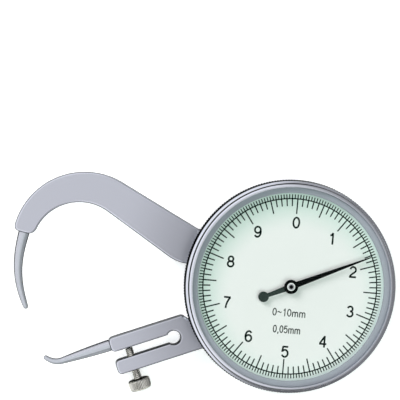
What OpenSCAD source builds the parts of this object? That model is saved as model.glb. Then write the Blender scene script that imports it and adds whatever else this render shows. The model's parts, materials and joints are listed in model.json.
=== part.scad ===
// Dial thickness gauge, lying on its back with the dial up.
// Origin on the dial's axis, at the outer face of the rear cover.

/* [Bezel and crystal] */
// Outer radius of the knurled bezel
bezel_r = 24.9; // [24.5:0.1:26.7]
// Width of the ring under the crystal
gasket_w = 1.35; // [1.1:0.05:1.5]
// Height of the bezel's inner ledge over the dial
ledge_h = 1.5; // [1.3:0.1:2.2]
// Thickness of the ring under the crystal
gasket_t = 0.5; // [0.3:0.1:0.8]
// Thickness of the crystal
crystal_t = 0.9; // [0.6:0.1:1.5]
// Height of the bezel's rim over the crystal
rim_h = 0.4; // [0.3:0.1:1]
// Width of the bezel's rim round the crystal
rim_w = 1.8; // [1.7:0.05:1.9]
// Bulge of the bezel's knurled side
side_bulge = 0.4; // [0.2:0.05:0.5]
// Height of the bezel's rim over its knurled side
brow_h = 1.6; // [1.2:0.1:2]
// Depth that the bezel's skirt reaches down over the case
skirt_h = 1.9; // [1.8:0.1:2.4]
// Running play between the bezel and the case, on the radius
bezel_play = 0.1; // [0.05:0.01:0.1]

/* [Dial and pointer] */
// Thickness of the dial plate
dial_t = 0.5; // [0.3:0.1:0.8]
// Thickness of the ring that clamps the dial
clamp_t = 0.3; // [0.2:0.1:0.5]
// Turn of the dial from upright, anticlockwise
dial_turn = -4.84; // [-180:0.01:180]
// Gap between the pointer's tip and the ring round the dial
pointer_gap = 1.75; // [1.4:0.05:4]
// Distance of the counterweight from the pointer's axis
weight_l = 6.8; // [5:0.1:9]
// Radius of the counterweight
weight_r = 1.2; // [0.8:0.1:1.5]
// Width of the pointer at its hub
pointer_w = 1.3; // [0.8:0.1:1.6]
// Width of the pointer at its tip
pointer_tip_w = 0.15; // [0.1:0.05:0.4]
// Width of the pointer's tail at the counterweight
tail_w = 0.75; // [0.5:0.05:1]
// Thickness of the pointer
pointer_t = 0.2; // [0.1:0.05:0.3]
// Radius of the pointer's hub
pointer_hub_r = 1.55; // [1.2:0.05:2]

/* [Case] */
// Step from the bezel's radius in to the case
case_setback = 1.5; // [1.2:0.1:1.7]
// Thickness of the case wall
case_wall = 2.9; // [2.7:0.1:3]
// Thickness of the rear cover
cover_t = 1.2; // [1:0.1:2]
// Free height between the rear cover and the arms
arm_space = 1.7; // [1.6:0.1:3]
// Thickness of the front web that carries the movement
web_t = 1.2; // [1:0.1:2]
// Radius of the rear cover screws
cover_screw_r = 0.7; // [0.5:0.05:0.8]

/* [Arms] */
// Thickness of both arms
arm_t = 3.2; // [3:0.1:4]
// Pivot of the moving arm, from the dial's axis, along X
pivot_x = -5.38; // [-5.9:0.02:-4.9]
// Pivot of the moving arm, from the dial's axis, along Y
pivot_y = 8.97; // [8.5:0.02:9.4]
// Opening between the tips at rest
rest_gap = 11.82; // [10.5:0.01:12.5]
// Radius of the moving arm's outer curve
crown_r = 16.82; // [16.4:0.02:17.4]
// Radius of the moving arm's inner curve
throat_r = 11.02; // [10.5:0.02:12]
// Fall of the moving arm's outer edge, in degrees
outer_fall = 31.5; // [30:0.5:33]
// Fall of the moving arm's inner edge, in degrees
inner_fall = 36.4; // [35:0.2:38]
// Width of the moving arm where it enters the case
shank_w = 8.15; // [7.5:0.05:8.6]
// Radius of the moving arm's rounded corners
arm_corner = 0.8; // [0.3:0.1:1.2]
// Tilt of the fixed arm
plate_tilt = 17.35; // [16:0.05:19]
// Reach of the fixed arm from the dial's axis
plate_l = 43.95; // [42:0.05:46]
// Width of each prong of the fixed arm
prong_w = 3.5; // [3.2:0.05:4]
// Width of the slot between the prongs
slot_w = 2; // [1.6:0.1:2.4]
// Radius of the round end of the slot
keyhole_r = 1.6; // [1.4:0.05:1.8]
// Distance of the round end of the slot from the dial's axis
keyhole_l = 29.15; // [28.5:0.05:31]

/* [Tips] */
// Radius of the moving tip where it leaves the arm
horn_r = 1.29; // [1.1:0.01:1.4]
// Radius of the moving tip's nose
horn_nose_r = 0.56; // [0.4:0.02:0.7]
// Radius of the fixed tip where it leaves the arm
rod_r = 1.36; // [1.1:0.02:1.4]
// Radius of the fixed tip's nose
rod_nose_r = 0.54; // [0.4:0.02:0.6]
// Radius of the spigot that holds each tip in its arm
spigot_r = 0.9; // [0.6:0.05:1]
// Depth of the spigot in the arm
spigot_l = 4; // [3:0.1:5]

/* [Adjusting screw] */
// Distance of the adjusting screw from the end of the fixed arm
screw_inset = 4.05; // [3:0.05:6]
// Radius of the screw's stem
stem_r = 0.95; // [0.7:0.05:1]
// Radius of the screw's head
head_r = 2.6; // [2:0.1:3]
// Height of the screw's head
head_h = 2.7; // [2:0.1:3.5]
// Free length of stem between the arm and the head
stem_free = 2.25; // [1.5:0.05:3]
// Radius of the ball at the screw's end
ball_r = 0.7; // [0.5:0.05:0.75]

/* [Movement] */
// Module of the sector and its pinion
sector_module = 0.3; // [0.295:0.001:0.305]
// Gap between the wheel and the case wall
wheel_clear = 0.82; // [0.6:0.02:1]
// Backlash of both meshes
backlash = 0.05; // [0.03:0.01:0.06]
// Thickness of the toothed sector
sector_t = 0.7; // [0.5:0.05:1]
// Thickness of the intermediate wheel
wheel_t = 0.5; // [0.4:0.05:0.7]
// Free height in front of the sector and in front of the wheel
train_gap = 0.4; // [0.3:0.05:0.6]
// Radius of the arm's pivot pin
pin_r = 1.5; // [1.2:0.05:1.7]
// Radius of the train's pivots
pivot_r = 0.5; // [0.4:0.02:0.6]
// Running clearance of every pivot, on the radius
running = 0.03; // [0.02:0.01:0.05]
// Thickness of the movement's bridge
bridge_t = 1.2; // [1:0.1:1.4]
// Radius of the pillars that carry the bridge
pillar_r = 1.5; // [1.2:0.1:1.7]
// Wire radius of the return spring
spring_wire_r = 0.12; // [0.08:0.01:0.15]
// Coil radius of the return spring, at the middle of its wire
spring_coil_r = 0.65; // [0.5:0.05:0.7]
// Turns of the return spring
spring_turns = 14; // [8:1:16]

/* [Hidden] */
$fn = 96;
tiny = 0.01;

// Gaps between the layers
web_clear = 0.3;
step_gap = 0.2;
bridge_drop = 1.5;
pointer_lift = 1;
ring_lift = 0.8;

// Heights of the layers, from the rear cover up
arm_z = cover_t + arm_space;
arm_top = arm_z + arm_t;
arm_mid = arm_z + arm_t / 2;
sector_top = arm_top + sector_t;
wheel_z = sector_top + train_gap;
web_z = wheel_z + wheel_t + train_gap;
web_top = web_z + web_t;
clamp_z = web_top + web_clear;
dial_z = clamp_z + clamp_t;
dial_top = dial_z + dial_t;
gasket_z = dial_top + ledge_h;
crystal_z = gasket_z + gasket_t;
crystal_top = crystal_z + crystal_t;
bezel_top = crystal_top + rim_h;
bezel_z = web_top - skirt_h;
step_z = bezel_z - step_gap;
bridge_top = arm_top - bridge_drop;
bridge_z = bridge_top - bridge_t;
pointer_z = dial_top + pointer_lift;
ring_z = bezel_z + ring_lift;

// Radii of the case and of what fits on it
case_step = 0.6;
case_r = bezel_r - case_setback;
case_in = case_r - case_wall;
spigot_out = case_r - case_step;
bezel_bore = spigot_out + bezel_play;
dial_seat = spigot_out - 0.1;
crystal_r = bezel_r - rim_w;
view_r = crystal_r - gasket_w;
pointer_l = view_r - pointer_gap;
cover_screw_ring = case_r - case_wall / 2;
cover_screw_turns = [45, 118, 235, 315];
cover_screw_in = 1.4;
sink = 0.5;

// Arm outlines
arm_pivot = [pivot_x, pivot_y];
crown_at = [-47.45, 9.68];
throat_at = [-48.75, 8.42];
shank_top = 13.15;
shank_low = shank_top - shank_w;
hub_r = 5.5;
horn_base = [-61.53, 12.42];
horn_face = [-0.264, -0.964];
horn_end = [-60.95, -5.32];
horn_aim = [0.34, -0.94];
slot_b = -2.7;
prong_top = slot_b + prong_w;
prong_low = slot_b - slot_w - prong_w;
shoulder_b = prong_top - 2;
shoulder_l = [25.65, 24.05];
plate_in = 8;
keyhole_b = slot_b - slot_w / 2;
rod_b = slot_b + prong_w / 2;
rod_bend = 56.52;
rod_rise = 0.55;
screw_l = plate_l - screw_inset;
fixed_screw_l = [case_in - 3.1, case_in - 9.1];
fixed_screw_b = (shoulder_b + prong_low) / 2;
fixed_screw_r = 0.9;
fixed_head_r = 1.6;
fixed_boss_r = 2.3;
ball_b = slot_b - ball_r - 0.02;
cup_r = ball_r + running;
stem_top = ball_b - 0.3;
head_top = prong_low - stem_free;

// Swing of the moving arm, from the opening at rest
nose_arm = horn_end - arm_pivot;
swing_r = norm(nose_arm);
nose_turn = atan2(nose_arm.y, nose_arm.x);
gap_turn = rest_gap / swing_r * 180 / PI;
rod_end = arm_pivot + polar(swing_r, nose_turn + gap_turn);
mm_per_turn = 10;
pointer_turn = 90 + dial_turn - 360 * rest_gap / mm_per_turn;

// Gear train: sector to pinion, then wheel to centre pinion
pressure = 20;
flank_steps = 2;
sector_teeth = 84;
pinion_teeth = 14;
wheel_teeth = 72;
centre_teeth = 12;
sector_add = 0.83 * sector_module;
wheel_tip = 0.72;
wheel_module = (case_in - wheel_clear) / (wheel_teeth + centre_teeth / 2 + wheel_tip);
wheel_add = wheel_tip * wheel_module;
sector_ded = 1.23 * sector_module;
wheel_ded = 1.28 * wheel_module;
pinion_ded = 1.1 * sector_module;
centre_ded = 1.12 * wheel_module;
sector_reach = sector_module * (sector_teeth + pinion_teeth) / 2;
wheel_reach = wheel_module * (wheel_teeth + centre_teeth) / 2;
train_at = meeting(arm_pivot, [0, 0], sector_reach, wheel_reach);
sector_line = turn_of(train_at - arm_pivot);
wheel_line = turn_of(train_at);
sector_pitch = 360 / sector_teeth;
sector_span = [27.5, 14.5];
sector_low = sector_line - sector_span[0];
sector_high = sector_line + sector_span[1];
stop_r = 0.6;
stop_gap = 0.05;
stop_reach = 8;
stop_at = arm_pivot + polar(stop_reach, sector_low) + polar(stop_r + stop_gap, sector_low - 90);

// Movement posts
pillar_clear = 0.9;
wheel_r = wheel_module * wheel_teeth / 2 + wheel_add;
pillars = [[1, -9.5], train_at + polar(wheel_r + pillar_clear + pillar_r, -55.5), polar(case_in - 2.6, 74.5)];
post_at = polar(case_in - 1.8, 115.2);
spring_pin_at = arm_pivot + [-8.5, 1.53];
spring_z = (arm_top + web_z) / 2;
post_r = 0.45;
hook_r = post_r + spring_wire_r + 0.06;
rivet_turns = [75, 255];
rivet_r = 0.6;
rivet_reach = 3.9;
bush_wall = 0.9;
bush_r = pivot_r + bush_wall;
arbor_r = 0.7;
wheel_seat_r = 1.2;
hair_z = bridge_top + 0.4;
hair_h = 0.5;
hair_in = 1.1;
hair_turns = 4;
hair_room = 0.26;
hair_pitch = (norm(stop_at) - stop_r - hair_room - hair_in) / hair_turns;
hair_t = 0.08;
hair_turn = 230;
hair_stud_r = 0.3;
hair_out = hair_in + hair_pitch * hair_turns;
hair_stud_at = polar(hair_out + hair_stud_r + hair_t / 2, hair_turn);
shaft_play = 0.1;

function polar(r, turn) = r * [cos(turn), sin(turn)];
function turn_of(v) = atan2(v.y, v.x);
function unit(v) = v / norm(v);

// Point at distance a from p and b from q, right of the way from p to q seen from above
function meeting(p, q, a, b) =
    let (d = norm(q - p), along = (a * a - b * b + d * d) / (2 * d))
    let (across = sqrt(a * a - along * along), u = (q - p) / d)
    p + along * u + across * [-u.y, u.x];

// Point of a cubic curve from four control points
function cubic(c, t) =
    let (s = 1 - t)
    s * s * s * c[0] + 3 * s * s * t * c[1] + 3 * s * t * t * c[2] + t * t * t * c[3];

// Involute gear teeth, each with its own share of the backlash
function involute_turn(base, r) =
    let (t = sqrt(max(0, pow(r / base, 2) - 1)))
    t * 180 / PI - atan(t);
function half_tooth(teeth, size, r) =
    let (pitch = teeth * size / 2, base = pitch * cos(pressure))
    90 / teeth - backlash * 45 / (PI * pitch)
    + involute_turn(base, pitch) - involute_turn(base, max(r, base));
function flank_radii(teeth, size, add, ded) =
    let (pitch = teeth * size / 2, base = pitch * cos(pressure))
    let (root = pitch - ded, tip = pitch + add, start = max(base, root))
    concat(root < base ? [root] : [], [for (i = [0:flank_steps]) start + (tip - start) * i / flank_steps]);
function tooth(teeth, size, add, ded, turn) =
    let (radii = flank_radii(teeth, size, add, ded), last = len(radii) - 1)
    concat([for (r = radii) polar(r, turn - half_tooth(teeth, size, r))],
        [for (i = [last:-1:0]) polar(radii[i], turn + half_tooth(teeth, size, radii[i]))]);
function gear(teeth, size, add, ded, turn) =
    [for (k = [0:teeth - 1]) each tooth(teeth, size, add, ded, turn + 360 * k / teeth)];

// Round rod swept along a path in space, with a radius at each point
function path_aims(path) =
    let (last = len(path) - 1)
    [for (i = [0:last]) unit(path[min(i + 1, last)] - path[max(i - 1, 0)])];
function path_sides(aims, side, i = 0) =
    i == len(aims) ? [] :
    let (s = unit(side - (side * aims[i]) * aims[i]))
    concat([s], path_sides(aims, s, i + 1));
module swept_rod(path, radii, sides) {
    aims = path_aims(path);
    across = path_sides(aims, [0, 0, 1]);
    last = len(path) - 1;
    points = [for (i = [0:last]) for (k = [0:sides - 1])
        path[i] + radii[i] * (cos(360 * k / sides) * across[i]
            + sin(360 * k / sides) * cross(aims[i], across[i]))];
    walls = [for (i = [0:last - 1]) for (k = [0:sides - 1])
        let (n = (k + 1) % sides)
        [i * sides + k, (i + 1) * sides + k, (i + 1) * sides + n, i * sides + n]];
    first_cap = [for (k = [0:sides - 1]) k];
    last_cap = [for (k = [sides - 1:-1:0]) last * sides + k];
    polyhedron(points, concat(walls, [first_cap, last_cap]), convexity = 8);
}

// Tapered tip on a flat path, ending in a round nose
module nosed_tip(path, radii) {
    last = len(path) - 1;
    aim = unit(path[last] - path[last - 1]);
    nose_steps = [25, 50, 75];
    nose = [for (s = nose_steps) path[last] + radii[last] * sin(s) * aim];
    nose_radii = [for (s = nose_steps) radii[last] * cos(s)];
    flat = concat(path, nose);
    swept_rod([for (p = flat) [p.x, p.y, arm_mid]], concat(radii, nose_radii), 16);
}

// Places and shapes that repeat
module at(p, z = 0) {
    translate([p.x, p.y, z])
        children();
}
module disc(r, h, z = 0) {
    translate([0, 0, z])
        cylinder(r = r, h = h);
}
module bar(from, to, w) {
    way = to - from;
    translate(from)
        rotate(turn_of(way))
            translate([0, -w / 2])
                square([norm(way), w]);
}
module in_plate() {
    rotate(plate_tilt)
        children();
}
module along_plate_width(l) {
    translate([-l, 0, arm_mid])
        rotate([-90, 0, 0])
            children();
}
module screw(head, head_t, stem, stem_t) {
    slot = 0.3;
    difference() {
        disc(head, head_t);
        translate([-head - tiny, -slot / 2, -tiny])
            cube([2 * head + 2 * tiny, slot, head_t / 2]);
    }
    disc(stem, stem_t, head_t);
}

// Case
module case_profile() {
    groove = 0.5;
    difference() {
        polygon([[0, web_z], [case_in, web_z], [case_in, cover_t], [case_r, cover_t], [case_r, step_z],
            [spigot_out, step_z], [spigot_out, web_top], [0, web_top]]);
        translate([spigot_out - groove, ring_z - groove])
            square([2 * groove, 2 * groove]);
    }
}
module arm_window() {
    reach = case_r;
    play = 0.4;
    high = shank_top - pivot_y + play;
    low = shank_low - pivot_y - play;
    flare = 6;
    at(arm_pivot, arm_z - play / 2)
        linear_extrude(arm_t + play)
            polygon([[0, high], [-reach, high + reach * tan(flare)],
                [-reach, low - reach * tan(gap_turn)], [0, low]]);
}
module plate_window() {
    play = 0.05;
    in_plate()
        translate([-case_r - 2, prong_low - play, arm_z - play])
            cube([case_r + 2 - plate_in, shoulder_b - prong_low + 2 * play, arm_t + play]);
}
module fixed_bosses() {
    in_plate()
        for (l = fixed_screw_l)
            translate([-l, fixed_screw_b])
                disc(fixed_boss_r, web_z - arm_top + tiny, arm_top);
}
module housing() {
    color("lightslategray")
        difference() {
            union() {
                rotate_extrude($fn = 180)
                    case_profile();
                intersection() {
                    fixed_bosses();
                    disc(case_in + tiny, web_top);
                }
            }
            arm_window();
            plate_window();
            disc(bush_r + bush_wall, web_top, web_z - 1);
            at(train_at)
                disc(bush_r, web_top, web_z - 1);
            at(arm_pivot)
                disc(pin_r, web_top, web_z - 1);
            at(post_at)
                disc(post_r, web_top, web_z - 1);
            for (p = pillars)
                at(p)
                    disc(pillar_r / 2, web_top, web_z - 1);
            for (turn = cover_screw_turns)
                at(polar(cover_screw_ring, turn))
                    disc(cover_screw_r, cover_screw_in + 0.2, cover_t);
            in_plate()
                for (l = fixed_screw_l)
                    translate([-l, fixed_screw_b])
                        disc(fixed_screw_r, web_z - arm_top, arm_top);
        }
}

module rear_cover() {
    lip = 0.6;
    lip_wall = 1;
    edge = 0.4;
    lip_r = case_in - 0.1;
    color("slategray")
        difference() {
            rotate_extrude($fn = 180)
                polygon([[0, 0], [case_r - edge, 0], [case_r, edge], [case_r, cover_t], [lip_r, cover_t],
                    [lip_r, cover_t + lip], [lip_r - lip_wall, cover_t + lip],
                    [lip_r - lip_wall, cover_t], [0, cover_t]]);
            for (turn = cover_screw_turns)
                at(polar(cover_screw_ring, turn)) {
                    disc(cover_screw_r, cover_t + 1, -tiny);
                    translate([0, 0, -tiny])
                        cylinder(r1 = cover_screw_r + sink + tiny, r2 = cover_screw_r, h = sink + tiny);
                }
        }
}

module rear_cover_screws() {
    flush = 0.05;
    slot = 0.3;
    color("silver")
        for (turn = cover_screw_turns)
            at(polar(cover_screw_ring, turn))
                difference() {
                    union() {
                        translate([0, 0, flush])
                            cylinder(r1 = cover_screw_r + sink - flush, r2 = cover_screw_r, h = sink - flush);
                        disc(cover_screw_r, cover_t + cover_screw_in - sink, sink);
                    }
                    translate([-2, -slot / 2, 0])
                        cube([4, slot, 0.35]);
                }
}

// Fixed arm, in its own axes: along the plate and across it
module plate_outline() {
    corner = 1;
    offset(r = corner, $fn = 48)
        offset(delta = -corner)
            polygon([[-plate_l, prong_low], [-plate_in, prong_low], [-plate_in, shoulder_b],
                [-shoulder_l[1], shoulder_b], [-shoulder_l[0], prong_top], [-plate_l, prong_top]]);
}
module fixed_arm() {
    color("lightsteelblue")
        in_plate()
            difference() {
                translate([0, 0, arm_z])
                    linear_extrude(arm_t)
                        plate_outline();
                translate([-plate_l - 1, slot_b - slot_w, arm_z - 1])
                    cube([plate_l + 1 - keyhole_l, slot_w, arm_t + 2]);
                translate([-keyhole_l, keyhole_b])
                    disc(keyhole_r, arm_t + 2, arm_z - 1);
                for (l = fixed_screw_l)
                    translate([-l, fixed_screw_b])
                        disc(fixed_screw_r, arm_t + 2, arm_z - 1);
                along_plate_width(screw_l)
                    disc(stem_r + running, prong_w + 1, prong_low - 0.5);
                translate([-plate_l, rod_b, arm_mid])
                    rotate([0, 90, 0])
                        disc(spigot_r, spigot_l, 0);
            }
}

module fixed_tip() {
    end = in_plate_axes(rod_end);
    aim = unit(in_plate_axes(-horn_aim));
    nose_at = end - rod_nose_r * aim;
    start = [-plate_l, rod_b];
    bend = [-rod_bend, rod_b + rod_rise];
    curve = [bend, bend + 1.7 * unit(bend - start), nose_at - 1.2 * aim, nose_at];
    steps = 8;
    path = concat([start], [for (i = [0:steps]) cubic(curve, i / steps)]);
    bend_r = 0.86;
    radii = concat([rod_r], [for (i = [0:steps]) bend_r + (rod_nose_r - bend_r) * i / steps]);
    color("lightgray")
        in_plate() {
            nosed_tip(path, radii);
            translate([-plate_l, rod_b, arm_mid])
                rotate([0, 90, 0])
                    disc(spigot_r, spigot_l, -tiny);
        }
}
function in_plate_axes(p) =
    [p.x * cos(plate_tilt) + p.y * sin(plate_tilt), p.y * cos(plate_tilt) - p.x * sin(plate_tilt)];

module fixed_arm_screws() {
    head_t = 1;
    color("silver")
        in_plate()
            for (l = fixed_screw_l)
                translate([-l, fixed_screw_b, arm_z - head_t])
                    screw(fixed_head_r, head_t, fixed_screw_r, arm_t + web_z - arm_top);
}

// Adjusting screw: stem up through the lower prong, ball against the upper one
module screw_ball() {
    color("gainsboro")
        in_plate()
            along_plate_width(screw_l)
                translate([0, 0, ball_b])
                    sphere(r = ball_r);
}
module adjusting_screw() {
    edge = 0.35;
    color("tan")
        in_plate()
            along_plate_width(screw_l)
                difference() {
                    union() {
                        disc(stem_r, stem_top - head_top + tiny, head_top - tiny);
                        rotate_extrude()
                            polygon([[0, head_top - head_h], [head_r - edge, head_top - head_h],
                                [head_r, head_top - head_h + edge], [head_r, head_top - edge],
                                [head_r - edge, head_top], [0, head_top]]);
                    }
                    translate([0, 0, ball_b])
                        sphere(r = cup_r);
                }
}

// Moving arm
function soft_bend(corner, l) =
    let (flat = corner + [l, 0], steep = corner + polar(l, 180 - inner_fall))
    [for (i = [0:6]) cubic([flat, (flat + 2 * corner) / 3, (steep + 2 * corner) / 3, steep], i / 6)];
module moving_arm() {
    crown_joint = crown_at + polar(crown_r, 90 - outer_fall);
    throat_joint = throat_at + polar(throat_r, 90 - inner_fall);
    outer_run = (crown_joint.y - shank_top) / tan(outer_fall);
    inner_run = (throat_joint.y - shank_low) / tan(inner_fall);
    bend_in = throat_joint + [inner_run, -inner_run * tan(inner_fall)];
    bend_l = 3;
    face_side = [-horn_face.y, horn_face.x];
    face_in = horn_base + 6 * face_side;
    face_out = horn_base - 6 * face_side;
    color("lightsteelblue")
        difference() {
            translate([0, 0, arm_z])
                linear_extrude(arm_t)
                    offset(r = arm_corner, $fn = 32)
                        offset(delta = -arm_corner)
                            union() {
                                intersection() {
                                    difference() {
                                        translate(crown_at)
                                            circle(r = crown_r, $fn = 160);
                                        translate(throat_at)
                                            circle(r = throat_r, $fn = 120);
                                    }
                                    polygon([crown_joint, throat_joint, throat_at, face_in, face_out,
                                        face_out + [0, crown_r], crown_joint + [0, crown_r / 2]]);
                                }
                                polygon([crown_joint, crown_joint + [outer_run, -outer_run * tan(outer_fall)],
                                    [arm_pivot.x, shank_top], [arm_pivot.x, shank_low],
                                    each soft_bend(bend_in, bend_l), throat_joint]);
                                translate(arm_pivot)
                                    circle(r = hub_r);
                            }
            at(arm_pivot)
                disc(pin_r + bush_wall, arm_t + 2, arm_z - 1);
            for (turn = rivet_turns)
                at(arm_pivot + polar(rivet_reach, turn))
                    disc(rivet_r, arm_t + 2, arm_z - 1);
            at(spring_pin_at)
                disc(post_r, arm_t, arm_z + 1);
            at(horn_base, arm_mid)
                rotate([90, 0, turn_of(-horn_face) + 90])
                    disc(spigot_r, spigot_l);
        }
}

module moving_tip() {
    nose_at = horn_end - horn_nose_r * unit(horn_aim);
    curve = [horn_base, horn_base + 6 * horn_face, nose_at - 7.5 * unit(horn_aim), nose_at];
    steps = 16;
    lead = 0.6;
    fall = horn_r - lead - horn_nose_r;
    path = [for (i = [0:steps]) cubic(curve, i / steps)];
    radii = [for (i = [0:steps]) horn_r - lead * i / steps - fall * pow(i / steps, 12)];
    color("lightgray") {
        nosed_tip(path, radii);
        at(horn_base, arm_mid)
            rotate([90, 0, turn_of(-horn_face) + 90])
                disc(spigot_r, spigot_l, -tiny);
    }
}

module arm_bush() {
    color("goldenrod")
        at(arm_pivot)
            difference() {
                disc(pin_r + bush_wall, arm_t, arm_z);
                disc(pin_r + running, arm_t + 2, arm_z - 1);
            }
}

module sector_gear() {
    teeth = [for (k = [-5:2]) each tooth(sector_teeth, sector_module, sector_add, sector_ded,
        sector_line + k * sector_pitch)];
    root = sector_module * sector_teeth / 2 - sector_ded;
    window = [6.6, 10.4];
    web = 5;
    color("gold")
        at(arm_pivot, arm_top)
            difference() {
                linear_extrude(sector_t)
                    difference() {
                        union() {
                            polygon(concat([[0, 0], polar(root, sector_low)], teeth,
                                [polar(root, sector_high)]));
                            circle(r = hub_r - 0.3);
                        }
                        polygon([polar(window[0], sector_low + 2 * web), polar(window[1], sector_low + web),
                            polar(window[1], sector_high - web), polar(window[0], sector_high - 2 * web)]);
                    }
                disc(pin_r + 0.1, sector_t + 2, -1);
                for (turn = rivet_turns)
                    at(polar(rivet_reach, turn))
                        disc(rivet_r, sector_t + 2, -1);
            }
}

module sector_rivets() {
    head_t = 0.25;
    color("silver")
        for (turn = rivet_turns)
            at(arm_pivot + polar(rivet_reach, turn), arm_z) {
                disc(rivet_r, arm_t + sector_t);
                disc(rivet_r + 0.4, head_t, arm_t + sector_t);
            }
}

module spring_pin() {
    color("silver")
        at(spring_pin_at)
            disc(post_r, spring_z + 0.6 - arm_z - 1, arm_z + 1);
}

// Pivot of the moving arm
module pivot_pin() {
    clip_z = arm_z - 0.6;
    color("silver")
        at(arm_pivot)
            difference() {
                union() {
                    disc(pin_r, web_top - cover_t - 0.5, cover_t + 0.5);
                    disc(pin_r + 1, web_z - sector_top - 0.1, sector_top + 0.1);
                }
                difference() {
                    disc(pin_r + 1, 0.5, clip_z);
                    disc(pin_r - 0.3, 2, clip_z - 1);
                }
            }
}
module pivot_clip() {
    clip_z = arm_z - 0.6;
    color("dimgray")
        at(arm_pivot, clip_z)
            difference() {
                disc(pin_r + 1.1, 0.5);
                disc(pin_r - 0.3, 2, -1);
                translate([0, -pin_r + 0.5, -1])
                    cube([pin_r + 2, 2 * pin_r - 1, 2]);
            }
}

// Bridge and bearings of the train
module movement_bridge() {
    pad = pillar_r + 0.8;
    color("goldenrod")
        difference() {
            translate([0, 0, bridge_z])
                linear_extrude(bridge_t) {
                    circle(r = norm(stop_at) + stop_r + 0.3);
                    translate(train_at)
                        circle(r = bush_r + 1.2);
                    for (p = pillars)
                        translate(p)
                            circle(r = pad);
                    bar([0, 0], train_at, 2 * pad);
                    bar([0, 0], pillars[0], 1.6 * pad);
                    bar([0, 0], pillars[1], 1.6 * pad);
                    bar(train_at, pillars[1], 1.6 * pad);
                    bar(train_at, pillars[2], 1.6 * pad);
                }
            disc(bush_r, bridge_t + 2, bridge_z - 1);
            at(train_at)
                disc(bush_r, bridge_t + 2, bridge_z - 1);
            at(stop_at)
                disc(stop_r, bridge_t + 2, bridge_z - 1);
            at(hair_stud_at)
                disc(hair_stud_r, bridge_t + 2, bridge_z - 1);
            for (p = pillars)
                at(p)
                    disc(pillar_r / 2, bridge_t + 2, bridge_z - 1);
        }
}
module bridge_pillars() {
    color("silver")
        for (p = pillars)
            at(p)
                difference() {
                    union() {
                        disc(pillar_r, web_z - bridge_top, bridge_top);
                        disc(pillar_r / 2, web_t, web_z);
                    }
                    disc(pillar_r / 2, 1.6, bridge_top - tiny);
                }
}
module bridge_screws() {
    head_t = 0.8;
    color("silver")
        for (p = pillars)
            at(p, bridge_z - head_t)
                screw(pillar_r, head_t, pillar_r / 2, bridge_t + 1.5);
}
module front_bushes() {
    color("goldenrod") {
        difference() {
            disc(bush_r + bush_wall, web_t, web_z);
            disc(arbor_r + running, web_t + 2, web_z - 1);
        }
        at(train_at)
            difference() {
                disc(bush_r, web_t, web_z);
                disc(pivot_r + running, web_t + 2, web_z - 1);
            }
    }
}
module rear_bushes() {
    color("goldenrod")
        for (p = [[0, 0], train_at])
            at(p)
                difference() {
                    disc(bush_r, bridge_t, bridge_z);
                    disc(pivot_r + running, bridge_t + 2, bridge_z - 1);
                }
}
module stop_pin() {
    color("silver")
        at(stop_at)
            disc(stop_r, sector_top - bridge_z, bridge_z);
}

// Gear train
module intermediate_pinion() {
    seat_r = wheel_seat_r;
    color("silver")
        at(train_at) {
            disc(pivot_r, web_top - bridge_z, bridge_z);
            disc(arbor_r + 0.2, wheel_z + wheel_t + 0.2 - bridge_top - shaft_play, bridge_top + shaft_play);
            translate([0, 0, arm_top - 0.2])
                linear_extrude(wheel_z - arm_top + 0.2)
                    polygon(gear(pinion_teeth, sector_module, sector_module, pinion_ded,
                        sector_line + 180 + 180 / pinion_teeth));
            disc(seat_r, wheel_t, wheel_z);
        }
}
module intermediate_wheel() {
    spokes = 4;
    hub = 2.4;
    rim = wheel_teeth * wheel_module / 2 - wheel_ded - 0.9;
    spoke_w = 1.1;
    color("gold")
        at(train_at, wheel_z)
            difference() {
                linear_extrude(wheel_t)
                    polygon(gear(wheel_teeth, wheel_module, wheel_add, wheel_ded, wheel_line + 180));
                difference() {
                    disc(rim, wheel_t + 2, -1);
                    disc(hub, wheel_t + 4, -2);
                    for (k = [0:spokes / 2 - 1])
                        rotate(360 / spokes * k)
                            translate([-rim - 1, -spoke_w / 2, -2])
                                cube([2 * rim + 2, spoke_w, wheel_t + 4]);
                }
                disc(wheel_seat_r, wheel_t + 2, -1);
            }
}
module centre_pinion() {
    leaf_z = wheel_z - 0.2;
    leaf_h = wheel_t + 0.4;
    color("silver") {
        disc(pivot_r, bridge_t + shaft_play, bridge_z);
        disc(arbor_r, pointer_z + pointer_t + 0.4 - bridge_top - shaft_play, bridge_top + shaft_play);
        translate([0, 0, leaf_z])
            linear_extrude(leaf_h)
                polygon(gear(centre_teeth, wheel_module, wheel_module, centre_ded,
                    wheel_line + 180 / centre_teeth));
    }
}

// Springs
module return_spring() {
    way = post_at - spring_pin_at;
    span = norm(way);
    lead = 1.7;
    coil_l = span - 2 * lead;
    arc = [for (a = [60:30:300]) a];
    per_turn = 12;
    steps = per_turn * spring_turns;
    near = [for (a = arc) [hook_r * cos(a), hook_r * sin(a), 0]];
    coil = [for (i = [0:steps])
        let (turn = 360 * i / per_turn + 180)
        [lead + coil_l * i / steps, spring_coil_r * cos(turn), spring_coil_r * sin(turn)]];
    far = [for (a = arc) [span - hook_r * cos(a), -hook_r * sin(a), 0]];
    route = concat(near, coil, far);
    color("silver")
        at(spring_pin_at, spring_z)
            rotate(turn_of(way))
                swept_rod(route, [for (p = route) spring_wire_r], 6);
}
module spring_post() {
    color("silver")
        at(post_at)
            disc(post_r, web_top - spring_z + 0.6, spring_z - 0.6);
}

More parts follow.
